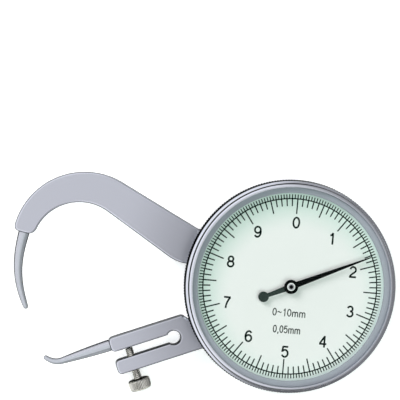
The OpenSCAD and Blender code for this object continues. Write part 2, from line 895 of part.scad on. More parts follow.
module hairspring() {
    steps = 24 * hair_turns;
    inner = [for (i = [0:steps])
        polar(hair_in + hair_pitch * i / 24 - hair_t / 2, hair_turn + 360 * (i - steps) / 24)];
    outer = [for (i = [steps:-1:0])
        polar(hair_in + hair_pitch * i / 24 + hair_t / 2, hair_turn + 360 * (i - steps) / 24)];
    color("royalblue")
        translate([0, 0, hair_z])
            linear_extrude(hair_h)
                polygon(concat(inner, outer));
}
module hairspring_stud() {
    color("silver")
        at(hair_stud_at)
            disc(hair_stud_r, hair_z + hair_h - bridge_z, bridge_z);
}
module hairspring_collet() {
    color("goldenrod")
        difference() {
            disc(hair_in - hair_t / 2, hair_h, hair_z);
            disc(arbor_r, hair_h + 2, hair_z - 1);
        }
}

// Bezel with the dial and the crystal
module bezel_spring_ring() {
    wire_r = 0.38;
    opening = 16;
    color("silver")
        translate([0, 0, ring_z])
            rotate(opening / 2)
                rotate_extrude(angle = 360 - opening, $fn = 180)
                    translate([spigot_out - 0.1, 0])
                        circle(r = wire_r, $fn = 24);
}
module bezel() {
    groove = 0.5;
    foot = 0.4;
    side_r = bezel_r - side_bulge;
    side_z = [bezel_z + foot, bezel_top - brow_h];
    side_steps = 8;
    side = [for (i = [0:side_steps])
        [side_r + side_bulge * sin(180 * i / side_steps),
            side_z[0] + (side_z[1] - side_z[0]) * i / side_steps]];
    crest = [crystal_r + 0.25, side_r - 0.85];
    wall_r = side_r - 0.65;
    shelf_z = side_z[1] + 0.1;
    color("silver")
        rotate_extrude($fn = 180)
            difference() {
                polygon(concat([[bezel_bore, bezel_z], [side_r - foot, bezel_z]], side, [
                    [side_r - 0.1, shelf_z], [wall_r, shelf_z], [wall_r, bezel_top - 0.35],
                    [crest[1], bezel_top], [crest[0], bezel_top],
                    [crystal_r, crystal_top], [crystal_r, gasket_z], [view_r, gasket_z],
                    [view_r, dial_top], [dial_seat, dial_top], [dial_seat, web_top + 0.15],
                    [bezel_bore, web_top + 0.15]]));
                translate([bezel_bore - groove + 0.4, ring_z - groove])
                    square([groove, 2 * groove]);
            }
}
module crystal() {
    edge = 0.15;
    color("azure", 0.3)
        rotate_extrude($fn = 180)
            polygon([[0, crystal_z], [crystal_r, crystal_z], [crystal_r, crystal_top - edge],
                [crystal_r - edge, crystal_top], [0, crystal_top]]);
}
module crystal_gasket() {
    color("lightslategray")
        difference() {
            disc(crystal_r, gasket_t, gasket_z);
            disc(view_r, gasket_t + 2, gasket_z - 1);
        }
}
module dial_plate() {
    color("honeydew")
        difference() {
            disc(dial_seat, dial_t, dial_z);
            disc(arbor_r + 0.4, dial_t + 2, dial_z - 1);
        }
}
module dial_clamp_ring() {
    color("gray")
        difference() {
            disc(dial_seat, clamp_t, clamp_z);
            disc(view_r - 0.5, clamp_t + 2, clamp_z - 1);
        }
}

// Pointer, turned to what the dial reads at rest
module pointer() {
    color("black")
        rotate(pointer_turn)
            difference() {
                translate([0, 0, pointer_z])
                    linear_extrude(pointer_t) {
                        polygon([[0, -pointer_w / 2], [pointer_l, -pointer_tip_w / 2], [pointer_l, pointer_tip_w / 2],
                            [0, pointer_w / 2]]);
                        polygon([[0, pointer_w / 2], [-weight_l, tail_w / 2], [-weight_l, -tail_w / 2],
                            [0, -pointer_w / 2]]);
                        translate([-weight_l, 0])
                            circle(r = weight_r);
                        circle(r = pointer_hub_r - 0.1);
                    }
                disc(arbor_r + 0.25, pointer_t + 2, pointer_z - 1);
            }
}
module pointer_hub() {
    color("silver")
        difference() {
            union() {
                disc(pointer_hub_r, 0.25, pointer_z + pointer_t);
                disc(arbor_r + 0.25, pointer_t + 0.55, pointer_z - 0.3);
            }
            disc(arbor_r, pointer_t + 2, pointer_z - 1);
        }
}

housing();
rear_cover();
rear_cover_screws();
fixed_arm();
fixed_tip();
fixed_arm_screws();
movement_bridge();
bridge_pillars();
bridge_screws();
front_bushes();
rear_bushes();
pivot_pin();
pivot_clip();
stop_pin();
spring_post();
return_spring();
hairspring();
hairspring_stud();
bezel_spring_ring();
bezel();
crystal();
crystal_gasket();
dial_plate();
dial_clamp_ring();
moving_arm();
moving_tip();
arm_bush();
sector_gear();
sector_rivets();
spring_pin();
intermediate_pinion();
intermediate_wheel();
centre_pinion();
pointer();
pointer_hub();
hairspring_collet();
screw_ball();
adjusting_screw();
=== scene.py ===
import json
import math

import bpy
from mathutils import Matrix, Vector


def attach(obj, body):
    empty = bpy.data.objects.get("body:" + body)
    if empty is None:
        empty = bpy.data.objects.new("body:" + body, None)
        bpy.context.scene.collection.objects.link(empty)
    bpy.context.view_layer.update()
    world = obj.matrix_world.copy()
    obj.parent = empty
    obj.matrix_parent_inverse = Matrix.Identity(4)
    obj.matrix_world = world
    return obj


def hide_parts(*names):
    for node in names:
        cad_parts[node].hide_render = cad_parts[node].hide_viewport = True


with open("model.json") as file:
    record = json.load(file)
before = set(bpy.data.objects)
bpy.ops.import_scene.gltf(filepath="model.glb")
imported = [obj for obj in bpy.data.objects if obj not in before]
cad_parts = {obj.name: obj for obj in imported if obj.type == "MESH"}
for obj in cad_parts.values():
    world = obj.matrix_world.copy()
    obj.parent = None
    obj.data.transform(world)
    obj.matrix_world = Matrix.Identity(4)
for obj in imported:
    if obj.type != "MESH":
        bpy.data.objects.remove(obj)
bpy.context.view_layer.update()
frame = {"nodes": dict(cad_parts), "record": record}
scene = bpy.context.scene
MM = 0.001

# Sizes of the part in millimetres, as in its source.
DIAL_TOP = 10.4
VIEW_R = 21.75
CRYSTAL_R = 23.1
CRYSTAL_TOP = 13.3
CRYSTAL_LOW = 12.4
GASKET_LOW = 11.9
BEZEL_R = 24.9
SIDE_R = 24.5
BEZEL_TOP = 13.7
BEZEL_LOW = 7.4
BEZEL_BORE = 22.9
DIAL_SEAT = 22.7
DIAL_LOW = 9.45
DIAL_TURN = -4.84
ARM_LOW = 2.9
ARM_TOP = 6.1
ARM_MID = 4.5
PIVOT = Vector((-5.38, 8.97))
CROWN = Vector((-47.45, 9.68))
THROAT = Vector((-48.75, 8.42))
ARM_END = Vector((-61.53, 12.42))
ARM_END_AIM = Vector((-0.264, -0.964))
PLATE_TILT = math.radians(17.35)
PLATE_LENGTH = 43.95
TIP_ROOT = 3.5
TIP_ROOT_R = 0.9
SCREW_AT = -39.9

# Radius that stands for the axis itself, and points round one tooth of a knurl
NEAR_AXIS = 0.0001
TOOTH_STEPS = 6


# Small vector helpers

def polar(radius, degrees):
    """Point on a circle about the origin."""
    turn = math.radians(degrees)
    return Vector((radius * math.cos(turn), radius * math.sin(turn)))


def in_plate(along, across):
    """Point of the fixed arm's own axes, in the part's axes."""
    c, s = math.cos(PLATE_TILT), math.sin(PLATE_TILT)
    return Vector((along * c - across * s, along * s + across * c))


def cubic(corners, t):
    """Point of a cubic curve at share t."""
    s = 1 - t
    a, b, c, d = corners
    return s * s * s * a + 3 * s * s * t * b + 3 * s * t * t * c + t * t * t * d


# Mesh helpers, all in millimetres

def build(name, points, faces, material, smooth=35.0):
    """A mesh object from points in millimetres, smooth except at edges sharper than an angle."""
    mesh = bpy.data.meshes.new(name)
    mesh.from_pydata([tuple(c * MM for c in p) for p in points], [], faces)
    mesh.validate()
    mesh.polygons.foreach_set("use_smooth", [True] * len(mesh.polygons))
    mesh.set_sharp_from_angle(angle=math.radians(smooth))
    mesh.materials.append(material)
    thing = bpy.data.objects.new(name, mesh)
    scene.collection.objects.link(thing)
    return thing


def place_piece(thing, body, slot, *nodes):
    """Tie a piece to its body and hide the nodes that it stands for; its finish slot is not used."""
    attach(thing, body)
    if nodes:
        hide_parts(*nodes)


def ring_faces(rows, columns, closed_rows):
    """Quads between the rings of a grid of points, each ring closed on itself."""
    faces = []
    last = rows if closed_rows else rows - 1
    for i in range(last):
        j = (i + 1) % rows
        for k in range(columns):
            n = (k + 1) % columns
            faces.append((i * columns + k, i * columns + n, j * columns + n, j * columns + k))
    return faces


def turned(name, profile, material, steps, wave=None, smooth=35.0):
    """A body of revolution about Z from (radius, height) points; wave shifts the radius round it."""
    points = []
    for index, (radius, height) in enumerate(profile):
        for k in range(steps):
            turn = 2 * math.pi * k / steps
            r = radius + (wave(index, turn) if wave else 0)
            points.append((r * math.cos(turn), r * math.sin(turn), height))
    return build(name, points, ring_faces(len(profile), steps, True), material, smooth)


def rod(name, path, radii, material, sides=40):
    """A round rod along a flat path at the arms' middle height, closed at both ends."""
    count = len(path)
    points = []
    for i in range(count):
        aim = (path[min(i + 1, count - 1)] - path[max(i - 1, 0)]).normalized()
        side = Vector((-aim.y, aim.x))
        for k in range(sides):
            turn = 2 * math.pi * k / sides
            flat = path[i] + side * (radii[i] * math.cos(turn))
            points.append((flat.x, flat.y, ARM_MID + radii[i] * math.sin(turn)))
    faces = ring_faces(count, sides, False)
    faces.append(tuple(range(sides - 1, -1, -1)))
    faces.append(tuple((count - 1) * sides + k for k in range(sides)))
    return build(name, points, faces, material, 50)


def nosed(path, radii, steps=8):
    """Path and radii with a half-round nose added at the end."""
    aim = (path[-1] - path[-2]).normalized()
    end, radius = path[-1], radii[-1]
    for k in range(1, steps + 1):
        turn = math.radians(88 * k / steps)
        path = path + [end + aim * (radius * math.sin(turn))]
        radii = radii + [radius * math.cos(turn)]
    return path, radii


def round_corners(outline, radius, steps=6):
    """Closed outline with each sharp corner turned into an arc of about the given radius."""
    out = []
    count = len(outline)
    for i in range(count):
        here = outline[i]
        before = outline[i - 1] - here
        after = outline[(i + 1) % count] - here
        bend = before.angle(after)
        if bend > math.radians(160) or min(before.length, after.length) < 0.5:
            out.append(here)
            continue
        cut = min(radius / math.tan(bend / 2), before.length * 0.48, after.length * 0.48)
        a = here + before.normalized() * cut
        b = here + after.normalized() * cut
        for k in range(steps + 1):
            t = k / steps
            out.append((1 - t) ** 2 * a + 2 * t * (1 - t) * here + t * t * b)
    return out


def soften(outline, index, reach, steps=8):
    """Closed outline with the corner at an index turned into a short curve."""
    line = outline[index:] + outline[:index]
    corner = line[0]
    after, before = 1, len(line) - 1
    while (line[after] - corner).length < reach:
        after += 1
    while (line[before] - corner).length < reach:
        before -= 1
    a = corner + (line[before] - corner).normalized() * reach
    b = corner + (line[after] - corner).normalized() * reach
    curve = []
    for k in range(steps + 1):
        t = k / steps
        curve.append((1 - t) ** 2 * a + 2 * t * (1 - t) * corner + t * t * b)
    return curve + line[after:before + 1]


def inset(outline, depth):
    """Outline moved inwards by a small depth; the outline runs anticlockwise."""
    out = []
    count = len(outline)
    for i in range(count):
        d1 = (outline[i] - outline[i - 1]).normalized()
        d2 = (outline[(i + 1) % count] - outline[i]).normalized()
        n1 = Vector((-d1.y, d1.x))
        n2 = Vector((-d2.y, d2.x))
        mid = (n1 + n2).normalized()
        out.append(outline[i] + mid * (depth / max(mid.dot(n1), 0.5)))
    return out


def slab(name, outline, material):
    """A plate between the arms' faces; a steep chamfer and a flat bevel run round both faces."""
    area = sum(a.x * b.y - b.x * a.y for a, b in zip(outline, outline[1:] + outline[:1]))
    if area < 0:
        outline = outline[::-1]
    edge = [(0.42, 0.0), (0.19, 0.08), (0.0, 0.5)]
    layers = [(depth, ARM_LOW + drop) for depth, drop in edge]
    layers += [(depth, ARM_TOP - drop) for depth, drop in reversed(edge)]
    points = []
    for depth, height in layers:
        points += [(p.x, p.y, height) for p in inset(outline, depth)]
    count = len(outline)
    faces = ring_faces(len(layers), count, False)
    faces.append(tuple(range(count - 1, -1, -1)))
    faces.append(tuple((len(layers) - 1) * count + k for k in range(count)))
    return build(name, points, faces, material, 15)


def bore(thing, cutter):
    """Cut the cutter out of a piece and remove it."""
    cut = thing.modifiers.new("bore", "BOOLEAN")
    cut.operation = "DIFFERENCE"
    cut.solver = "EXACT"
    cut.object = cutter
    bpy.context.view_layer.update()
    seen = thing.evaluated_get(bpy.context.evaluated_depsgraph_get())
    mesh = bpy.data.meshes.new_from_object(seen)
    mesh.set_sharp_from_angle(angle=math.radians(15))
    thing.modifiers.clear()
    thing.data = mesh
    bpy.data.objects.remove(cutter)


def plug(start, end, radius, sides=48):
    """A plain round cutter between two places."""
    axis = (end - start).normalized()
    side = axis.orthogonal().normalized()
    other = axis.cross(side)
    points = []
    for place in (start, end):
        for k in range(sides):
            turn = 2 * math.pi * k / sides
            points.append(place + (side * math.cos(turn) + other * math.sin(turn)) * radius)
    faces = ring_faces(2, sides, False)
    faces.append(tuple(range(sides - 1, -1, -1)))
    faces.append(tuple(sides + k for k in range(sides)))
    return build("cutter", points, faces, finish["arm_steel"])


# Node helpers

def add(tree, kind, operation=None):
    """A new node of a kind, set to an operation if it has one."""
    node = tree.nodes.new("ShaderNode" + kind)
    if operation:
        node.operation = operation
    return node


def calc(tree, operation, *values):
    """Output of a math node; each value is a number or another node's output."""
    node = add(tree, "Math", operation)
    for socket, value in zip(node.inputs, values):
        if isinstance(value, (int, float)):
            socket.default_value = value
        else:
            tree.links.new(value, socket)
    return node.outputs["Value"]


def remap(tree, value, low, high, to_low=0.0, to_high=1.0, smooth=False):
    """Output of a node that maps a range of a value to another range."""
    node = add(tree, "MapRange")
    if smooth:
        node.interpolation_type = "SMOOTHSTEP"
    limits = {"From Min": low, "From Max": high, "To Min": to_low, "To Max": to_high}
    for socket, number in limits.items():
        node.inputs[socket].default_value = number
    tree.links.new(value, node.inputs["Value"])
    return node.outputs["Result"]


def ramp_color(tree, value, stops):
    """Output of a colour ramp with (place, colour) stops."""
    ramp = add(tree, "ValToRGB")
    elements = ramp.color_ramp.elements
    while len(elements) < len(stops):
        elements.new(0.5)
    for stop, (place, color) in zip(elements, stops):
        stop.position = place
        stop.color = (*color, 1)
    tree.links.new(value, ramp.inputs["Fac"])
    return ramp.outputs["Color"]


def toward(tree, place, aim):
    """Output of the dot product of a place or direction with a fixed direction."""
    node = add(tree, "VectorMath", "DOT_PRODUCT")
    node.inputs[1].default_value = aim
    tree.links.new(place, node.inputs[0])
    return node.outputs["Value"]


def off_axis(tree, center=(0, 0, 0)):
    """Output with the distance from the dial's axis, or from a line beside it."""
    where = add(tree, "TexCoord")
    shift = add(tree, "VectorMath", "SUBTRACT")
    shift.inputs[1].default_value = center
    flat = add(tree, "VectorMath", "MULTIPLY")
    flat.inputs[1].default_value = (1, 1, 0)
    reach = add(tree, "VectorMath", "LENGTH")
    tree.links.new(where.outputs["Object"], shift.inputs[0])
    tree.links.new(shift.outputs["Vector"], flat.inputs[0])
    tree.links.new(flat.outputs["Vector"], reach.inputs[0])
    return reach.outputs["Value"]


# Materials

ROUGHNESS_SPREAD = 0.05
GRAIN_DEPTH = 0.00002
# Share of the usual mirror at a glancing angle that the shaded metals keep
GLANCE = 0.1
PLAIN_BLACK = (0.002, 0.003, 0.003)
TAIL_BLACK = (0.034, 0.048, 0.044)


def new_material(name):
    """An empty node material and its main shader."""
    material = bpy.data.materials.new(name)
    material.use_nodes = True
    return material, material.node_tree.nodes["Principled BSDF"]


def metal(name, color, roughness, scale=600.0, bump=0.0, stretch=(1, 1, 1), share=1.0):
    """A metal with a fine procedural change of its roughness, and a fine grain if asked."""
    material, shader = new_material(name)
    tree = material.node_tree
    shader.inputs["Base Color"].default_value = (*color, 1)
    shader.inputs["Metallic"].default_value = share
    where = add(tree, "TexCoord")
    mapping = add(tree, "Mapping")
    mapping.inputs["Scale"].default_value = stretch
    noise = add(tree, "TexNoise")
    noise.inputs["Scale"].default_value = scale
    noise.inputs["Detail"].default_value = 4
    tree.links.new(where.outputs["Object"], mapping.inputs["Vector"])
    tree.links.new(mapping.outputs["Vector"], noise.inputs["Vector"])
    low, high = roughness - ROUGHNESS_SPREAD, roughness + ROUGHNESS_SPREAD
    tree.links.new(remap(tree, noise.outputs["Fac"], 0, 1, low, high), shader.inputs["Roughness"])
    if bump > 0:
        grain = add(tree, "Bump")
        grain.inputs["Strength"].default_value = bump
        grain.inputs["Distance"].default_value = GRAIN_DEPTH
        tree.links.new(noise.outputs["Fac"], grain.inputs["Height"])
        tree.links.new(grain.outputs["Normal"], shader.inputs["Normal"])
    return material


def shade_edges(material, color, edge, steepest=0.5, flattest=0.85, painted_axis_shade=None, inner=0.0):
    """Paint shade onto a metal: its base colour darkens on its steep edges, and it keeps only a share of
    its mirror at a glancing angle; its gentle bevels are smoother than its faces.

    With its (near, far, least) argument it also paints shade that darkens it towards the dial's axis,
    standing for the bezel's shade. Edges closer to the axis than inner get no painted shade and keep their
    full glancing mirror.
    """
    tree = material.node_tree
    shader = tree.nodes["Principled BSDF"]
    face = add(tree, "NewGeometry")
    split = add(tree, "SeparateXYZ")
    tree.links.new(face.outputs["True Normal"], split.inputs["Vector"])
    level = calc(tree, "ABSOLUTE", split.outputs["Z"])
    polish = remap(tree, level, 0.96, 0.995, 0.5)
    rough = shader.inputs["Roughness"].links[0].from_socket
    tree.links.new(calc(tree, "MULTIPLY", rough, polish), shader.inputs["Roughness"])
    # Painted shade: the base colour darkens where the face is steep.
    shade = remap(tree, level, steepest, flattest, edge)
    shader.inputs["Specular IOR Level"].default_value = 0.0
    shader.inputs["Specular Tint"].default_value = (GLANCE, GLANCE, GLANCE, 1)
    if inner > 0:
        inside = calc(tree, "LESS_THAN", off_axis(tree), inner)
        shade = calc(tree, "MAXIMUM", shade, inside)
        tree.links.new(calc(tree, "MAXIMUM", inside, GLANCE), shader.inputs["Specular Tint"])
    # Painted shade of the bezel: the base colour darkens towards the dial's axis.
    if painted_axis_shade:
        near, far, least = painted_axis_shade
        shade = calc(tree, "MULTIPLY", shade, remap(tree, off_axis(tree), near, far, least, 1.0, True))
    tint = add(tree, "VectorMath", "SCALE")
    tint.inputs[0].default_value = color
    tree.links.new(shade, tint.inputs["Scale"])
    tree.links.new(tint.outputs["Vector"], shader.inputs["Base Color"])


def paint(name, color, roughness, gloss=0.1):
    """A plain coat with a fine procedural roughness."""
    material, shader = new_material(name)
    tree = material.node_tree
    shader.inputs["Base Color"].default_value = (*color, 1)
    shader.inputs["Specular IOR Level"].default_value = gloss
    noise = add(tree, "TexNoise")
    noise.inputs["Scale"].default_value = 900
    low, high = roughness - ROUGHNESS_SPREAD, roughness + ROUGHNESS_SPREAD
    tree.links.new(remap(tree, noise.outputs["Fac"], 0, 1, low, high), shader.inputs["Roughness"])
    return material


def dial_finish():
    """Pale coat of the dial with painted shadow of the bezel: darker and greener towards its rim, most at
    the upper left.
    """
    material, shader = new_material("dial_paint")
    tree = material.node_tree
    # Painted shadow of the bezel's rim: centred off the axis, so it is strongest at the upper left.
    least_shadow_spot = (0.0010, -0.0020, 0)
    rim_shadow = remap(tree, off_axis(tree, least_shadow_spot), 0.0145, 0.0225, smooth=True)
    color = ramp_color(tree, rim_shadow, [(0, (0.86, 0.86, 0.855)), (1, (0.63, 0.755, 0.70))])
    tree.links.new(color, shader.inputs["Base Color"])
    shader.inputs["Roughness"].default_value = 0.55
    return material


def hand_finish():
    """Black of the pointer's hand, a little greyer on its tail."""
    material = paint("hand_black", PLAIN_BLACK, 0.5, 0.0)
    tree = material.node_tree
    where = add(tree, "TexCoord")
    along = toward(tree, where.outputs["Object"], (*polar(1, POINTER_TURN), 0))
    color = ramp_color(tree, remap(tree, along, -0.0025, 0.0005), [(0, TAIL_BLACK), (1, PLAIN_BLACK)])
    tree.links.new(color, tree.nodes["Principled BSDF"].inputs["Base Color"])
    return material


def clear_finish():
    """Clear cover: lets the dial through with a faint sheen on its outer faces."""
    material, shader = new_material("crystal_clear")
    tree = material.node_tree
    tree.nodes.remove(shader)
    through = add(tree, "BsdfTransparent")
    through.inputs["Color"].default_value = (0.985, 0.99, 0.985, 1)
    sheen = add(tree, "BsdfGlossy")
    sheen.inputs["Roughness"].default_value = 0.03
    edge = add(tree, "Fresnel")
    edge.inputs["IOR"].default_value = 1.2
    face = add(tree, "NewGeometry")
    front = calc(tree, "SUBTRACT", 1.0, face.outputs["Backfacing"])
    mix = add(tree, "MixShader")
    tree.links.new(calc(tree, "MULTIPLY", edge.outputs["Fac"], front), mix.inputs["Fac"])
    tree.links.new(through.outputs["BSDF"], mix.inputs[1])
    tree.links.new(sheen.outputs["BSDF"], mix.inputs[2])
    tree.links.new(mix.outputs["Shader"], tree.nodes["Material Output"].inputs["Surface"])
    return material


finish = {
    "case_metal": metal("case_metal", (0.47, 0.49, 0.53), 0.32, stretch=(1, 1, 30)),
    "cover_metal": metal("cover_metal", (0.58, 0.60, 0.65), 0.36),
    "arm_steel": metal("arm_steel", (0.9, 0.92, 0.99), 0.40, bump=0.25, scale=2500),
    "tip_steel": metal("tip_steel", (0.62, 0.625, 0.685), 0.5, share=0.55),
    "bezel_chrome": metal("bezel_chrome", (0.93, 0.95, 1.0), 0.2),
    "crystal_clear": clear_finish(),
    "gasket_plastic": paint("gasket_plastic", (0.35, 0.365, 0.42), 0.6),
    "dial_paint": dial_finish(),
    "pointer_black": paint("pointer_black", PLAIN_BLACK, 0.5, 0.0),
    "hub_silver": metal("hub_silver", (0.86, 0.88, 0.87), 0.35, share=0.3),
    "thumb_screw_nickel": metal("thumb_screw_nickel", (0.88, 0.86, 0.76), 0.22),
    "brass": metal("brass", (0.85, 0.64, 0.27), 0.3),
    "spring_steel": metal("spring_steel", (0.5, 0.51, 0.56), 0.3),
    "screw_steel": metal("screw_steel", (0.78, 0.78, 0.8), 0.25),
}
# Painted shade on the steep edges of the arms, the bezel's knurled side, the tips and the thumb screw; the
# arms also get painted shade of the bezel, darker towards the dial.
shade_edges(finish["arm_steel"], (0.92, 0.935, 1.0), 0.26, painted_axis_shade=(0.022, 0.044, 0.68))
shade_edges(finish["bezel_chrome"], (0.93, 0.95, 1.0), 0.18, 0.3, 0.65, inner=0.0234)
shade_edges(finish["tip_steel"], (0.62, 0.625, 0.685), 0.12, 0.5, 0.7)
shade_edges(finish["thumb_screw_nickel"], (0.84, 0.82, 0.73), 0.2, 0.15, 0.75)
ink = paint("dial_ink", (0.004, 0.012, 0.009), 0.6)
soft_ink = paint("dial_soft_ink", (0.008, 0.016, 0.013), 0.6)

slot_of = {part["node"]: part["material_slot"] for part in frame["record"]["subparts"]}
for name, node in frame["nodes"].items():
    node.data.materials.clear()
    node.data.materials.append(finish[slot_of[name]])


# Bezel: turned ring with a bright crest, a step, a ledge and a bulged knurled side

KNURL_TEETH = 240
KNURL_DEPTH = 0.2
SIDE_LOW = BEZEL_LOW + 0.4
SIDE_HIGH = BEZEL_TOP - 1.6
SIDE_STEPS = 12
CREST_STEPS = 12


def bezel_profile():
    """Points round the section of the ring; the knurled side comes first."""
    section = []
    for k in range(SIDE_STEPS + 1):
        share = k / SIDE_STEPS
        bulge = (BEZEL_R - SIDE_R) * math.sin(math.pi * share)
        section.append((SIDE_R + bulge, SIDE_LOW + (SIDE_HIGH - SIDE_LOW) * share))
    section += [(SIDE_R - 0.02, SIDE_HIGH + 0.04), (SIDE_R - 0.07, SIDE_HIGH + 0.07)]
    section += [(SIDE_R - 0.48, SIDE_HIGH + 0.28), (SIDE_R - 0.5, SIDE_HIGH + 0.3)]
    crest_in, crest_out = CRYSTAL_R + 0.03, SIDE_R - 0.71
    for k in range(CREST_STEPS + 1):
        share = k / CREST_STEPS
        radius = crest_out + (crest_in - crest_out) * share
        section.append((radius, BEZEL_TOP - 0.06 - 0.25 * (1 - share) ** 2))
    section += [(CRYSTAL_R, BEZEL_TOP - 0.1), (CRYSTAL_R, GASKET_LOW), (VIEW_R, GASKET_LOW)]
    section += [(VIEW_R, DIAL_TOP), (DIAL_SEAT, DIAL_TOP), (DIAL_SEAT, DIAL_LOW), (BEZEL_BORE, DIAL_LOW)]
    section += [(BEZEL_BORE, BEZEL_LOW), (SIDE_R - 0.4, BEZEL_LOW), (SIDE_R - 0.05, BEZEL_LOW + 0.3)]
    return section


def knurl(index, turn):
    """Fine straight knurl on the bezel's side."""
    if 1 <= index < SIDE_STEPS:
        share = (turn * KNURL_TEETH / (2 * math.pi)) % 1.0
        return -KNURL_DEPTH * abs(2 * share - 1)
    return 0


bezel = turned("bezel_ring", bezel_profile(), finish["bezel_chrome"], KNURL_TEETH * TOOTH_STEPS, knurl, 30)
place_piece(bezel, "bezel_assembly", "bezel_chrome", "bezel")


# Crystal and the grey ring under its edge

RING_TOP = CRYSTAL_LOW - 0.04
RING_LOW = GASKET_LOW + 0.03
RING_FIT = 0.02
PANE_FIT = 0.03
PANE_LOW = CRYSTAL_LOW + 0.02
PANE_BEVEL = 0.15
ROUND_STEPS = 240
ring = [(VIEW_R + RING_FIT, RING_LOW), (CRYSTAL_R - RING_FIT, RING_LOW), (CRYSTAL_R - RING_FIT, RING_TOP)]
ring += [(VIEW_R + 0.14, RING_TOP), (VIEW_R + 0.06, RING_TOP - 0.03), (VIEW_R + RING_FIT, RING_TOP - 0.1)]
gasket = turned("gasket_ring", ring, finish["gasket_plastic"], ROUND_STEPS)
place_piece(gasket, "bezel_assembly", "gasket_plastic", "crystal_gasket")
pane_r = CRYSTAL_R - PANE_FIT
pane = [(NEAR_AXIS, PANE_LOW), (pane_r, PANE_LOW), (pane_r, CRYSTAL_TOP - PANE_BEVEL)]
pane += [(pane_r - PANE_BEVEL, CRYSTAL_TOP), (NEAR_AXIS, CRYSTAL_TOP)]
crystal = turned("crystal_pane", pane, finish["crystal_clear"], ROUND_STEPS)
place_piece(crystal, "bezel_assembly", "crystal_clear", "crystal")


# Dial print: circle line, graduations, numbers and two small lines

PRINT_Z = DIAL_TOP + 0.012
LINE_R = 20.4
LINE_HALF = 0.14
OUTER_MARK = 1.0
NUMBER_MARK = 3.5
HALF_MARK = 3.1
SHORT_MARK = 1.74
MARKS = 200


def bar_faces(points, faces, inner, outer, degrees, width):
    """One radial graduation."""
    aim = polar(1, degrees)
    side = Vector((-aim.y, aim.x)) * (width / 2)
    base = len(points)
    for place in (aim * inner - side, aim * outer - side, aim * outer + side, aim * inner + side):
        points.append((place.x, place.y, PRINT_Z))
    faces.append((base, base + 1, base + 2, base + 3))


def scale_print():
    """The circle line and its 200 graduations."""
    points, faces = [], []
    steps = 400
    for radius in (LINE_R - LINE_HALF, LINE_R + LINE_HALF):
        for k in range(steps):
            p = polar(radius, 360 * k / steps)
            points.append((p.x, p.y, PRINT_Z + 0.002))
    for k in range(steps):
        n = (k + 1) % steps
        faces.append((k, steps + k, steps + n, n))
    for k in range(MARKS):
        degrees = 90 + DIAL_TURN - 360 / MARKS * k
        bar_faces(points, faces, LINE_R, LINE_R + OUTER_MARK, degrees, 0.25)
        if k % 20 == 0:
            bar_faces(points, faces, LINE_R - NUMBER_MARK, LINE_R, degrees, 0.3)
        elif k % 10 == 0:
            bar_faces(points, faces, LINE_R - HALF_MARK, LINE_R, degrees, 0.3)
        elif k % 2 == 0:
            bar_faces(points, faces, LINE_R - SHORT_MARK, LINE_R, degrees, 0.29)
    return build("scale_print", points, faces, ink)


place_piece(scale_print(), "bezel_assembly", "pointer_black")


def arc(x, y, rx, ry, start, end, steps=20):
    """Points of an upright ellipse between two angles."""
    out = []
    for k in range(steps + 1):
        turn = math.radians(start + (end - start) * k / steps)
        out.append((x + rx * math.cos(turn), y + ry * math.sin(turn)))
    return out


SIX = [arc(0.01, -0.165, 0.25, 0.27, 0, 360, 32), arc(0.02, 0, 0.28, 0.435, 42, 195, 24)]
# Pen strokes of the characters, in a box one unit high about the origin
STROKES = {
    "0": [arc(0, 0, 0.255, 0.435, 0, 360, 36)],
    "1": [[(0.075, 0.5), (0.075, -0.5)], [(-0.15, 0.26), (-0.03, 0.31), (0.05, 0.42), (0.07, 0.5)]],
    "2": [arc(0, 0.18, 0.24, 0.255, 172, -42) + [(-0.02, -0.14), (-0.2, -0.31), (-0.255, -0.435)],
          [(-0.32, -0.435), (0.3, -0.435)]],
    "3": [arc(-0.01, 0.22, 0.215, 0.215, 165, -90), arc(-0.01, -0.2, 0.25, 0.235, 90, -163)],
    "4": [[(0.13, 0.47), (-0.27, -0.16)], [(-0.33, -0.2), (0.3, -0.2)], [(0.12, 0.5), (0.12, -0.5)]],
    "5": [[(0.25, 0.435), (-0.19, 0.435)], [(-0.17, 0.48), (-0.235, -0.02)],
          arc(0, -0.135, 0.255, 0.3, 148, -155, 28)],
    "6": SIX,
    "7": [[(-0.29, 0.435), (0.29, 0.435)],
          [(0.25, 0.42), (0.1, 0.2), (0, -0.03), (-0.06, -0.25), (-0.085, -0.5)]],
    "8": [arc(0, 0.22, 0.205, 0.215, 0, 360, 28), arc(0, -0.2, 0.25, 0.235, 0, 360, 32)],
    "9": [[(-x, -y) for x, y in line] for line in SIX],
    "m": [[(-0.4, -0.5), (-0.4, 0.16)], arc(-0.2, -0.06, 0.2, 0.2, 170, 0, 10) + [(0, -0.5)],
          arc(0.2, -0.06, 0.2, 0.2, 170, 0, 10) + [(0.4, -0.5)]],
    "~": [[(-0.28, -0.04), (-0.2, 0.06), (-0.1, 0.07), (0.1, -0.05), (0.2, -0.05), (0.28, 0.06)]],
    ",": [[(0.03, -0.36), (0.02, -0.5), (-0.06, -0.62)]],
}
# Widths of the characters that are not as wide as a digit
ADVANCE = {"m": 1.1, "~": 0.78, ",": 0.4}
DIGIT_ADVANCE = 0.74


